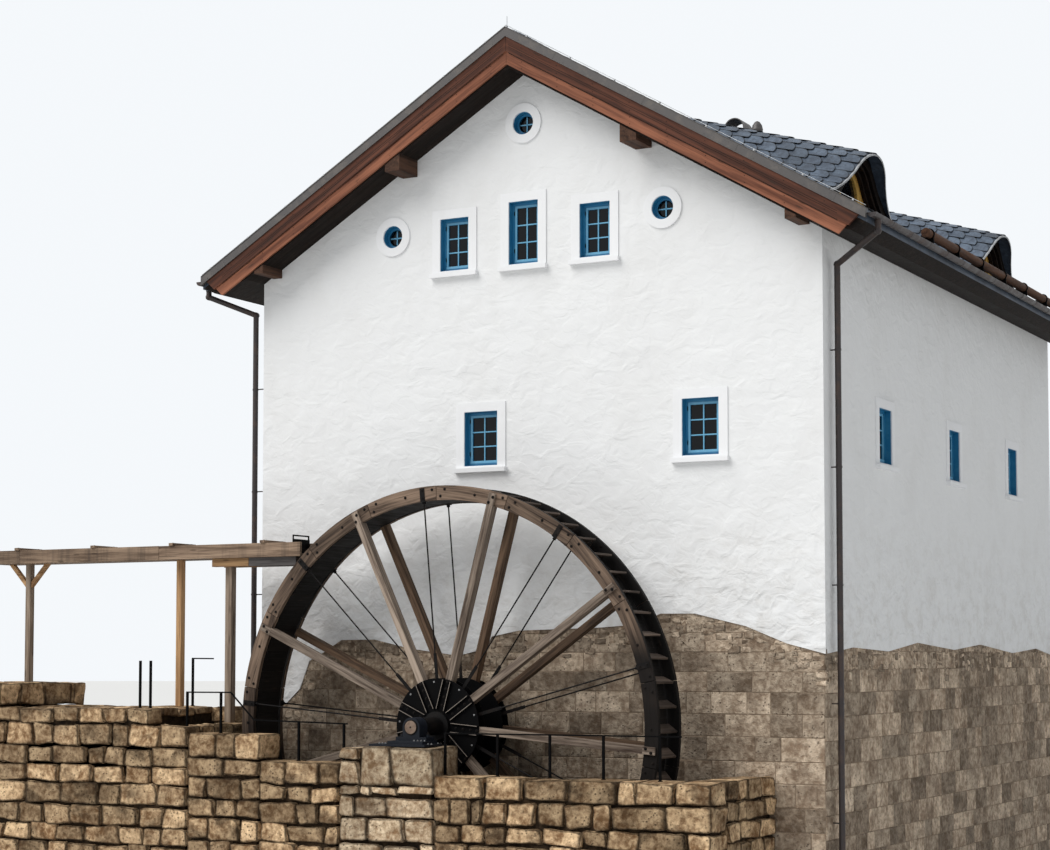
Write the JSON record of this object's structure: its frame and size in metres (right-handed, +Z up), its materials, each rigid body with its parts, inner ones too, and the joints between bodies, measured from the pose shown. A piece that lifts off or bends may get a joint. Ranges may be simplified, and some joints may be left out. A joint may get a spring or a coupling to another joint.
{
  "type": "watermill",
  "caption": "Gabled mill house with eyebrow dormers, a side-mounted timber waterwheel that turns on its shaft, a stone wheel pit and bearing pier, and a timber flume on posts.",
  "frame": {"origin": "in the middle of the house's footprint, on the underside of its base floor, at the level of the wheel pit floor", "axes": "+X to the right along the gable as seen from the wheel, +Y back from the wheel's gable to the rear gable, +Z up"},
  "size_m": [17.539, 17.315, 16.058],
  "materials": {
    "masonry": "rough squared sandstone",
    "lime_plaster": "matt",
    "floor_stone": "matt",
    "floor_boards": "sawn",
    "slate": "matt",
    "dark_boards": "stained",
    "brown_boards": "stained",
    "zinc": "weathered",
    "dark_metal": "satin",
    "copper_brown": "satin",
    "white_trim": "matt",
    "blue_paint": "gloss paint",
    "glass": "clear",
    "grey_timber": "weathered",
    "dark_timber": "wet weathered",
    "new_timber": "weathered",
    "rusty_steel": "rusty"
  },
  "bodies": {
    "house": {"front_wall": "masonry", "rear_wall": "masonry", "left_wall": "masonry", "right_wall": "masonry", "plaster_coat": "lime_plaster", "base_floor": "floor_stone", "first_floor": "floor_boards", "upper_floor": "floor_boards", "roof_left": "slate", "roof_right": "slate", "soffit_left": "dark_boards", "soffit_right": "dark_boards", "purlins": "dark_boards", "barge_boards": "brown_boards", "verge_flashing": "zinc", "ridge_cap": "slate", "gutters": "copper_brown", "downpipes": "copper_brown", "dormer_roofs": "slate", "dormer_frames": "dark_boards", "dormer_glass": "glass", "snow_guard_logs": "dark_boards", "snow_guard_brackets": "dark_metal", "roof_vents": "zinc", "window_surrounds": "white_trim", "window_sills": "white_trim", "window_frames": "blue_paint", "window_glass": "glass", "rear_door": "brown_boards", "pit_wall_left": "masonry", "pit_wall_right": "masonry", "bearing_pier": "masonry", "flume_abutment": "masonry", "flume_trough": "grey_timber", "flume_posts": "new_timber", "flume_gate": "dark_metal", "bearing_base": "dark_metal", "bearing_housing": "dark_metal", "wall_bearing": "dark_metal", "pit_railing_right": "dark_metal", "pit_railing_left": "dark_metal"},
    "wheel": {"wheel_shaft": "rusty_steel", "hub_plates": "dark_metal", "arms_front": "grey_timber", "arms_back": "dark_timber", "rim_front": "dark_timber", "rim_back": "dark_timber", "sole_boards": "dark_timber", "bucket_boards": "dark_timber", "tie_rods": "dark_metal", "rim_straps": "dark_metal"}
  },
  "joints": [
    {"name": "wheel_spin", "type": "hinge", "parent": "house", "child": "wheel", "pos_m": [-0.864, -7.925, 4.115], "axis": [0, 1, 0], "continuous": true}
  ]
}
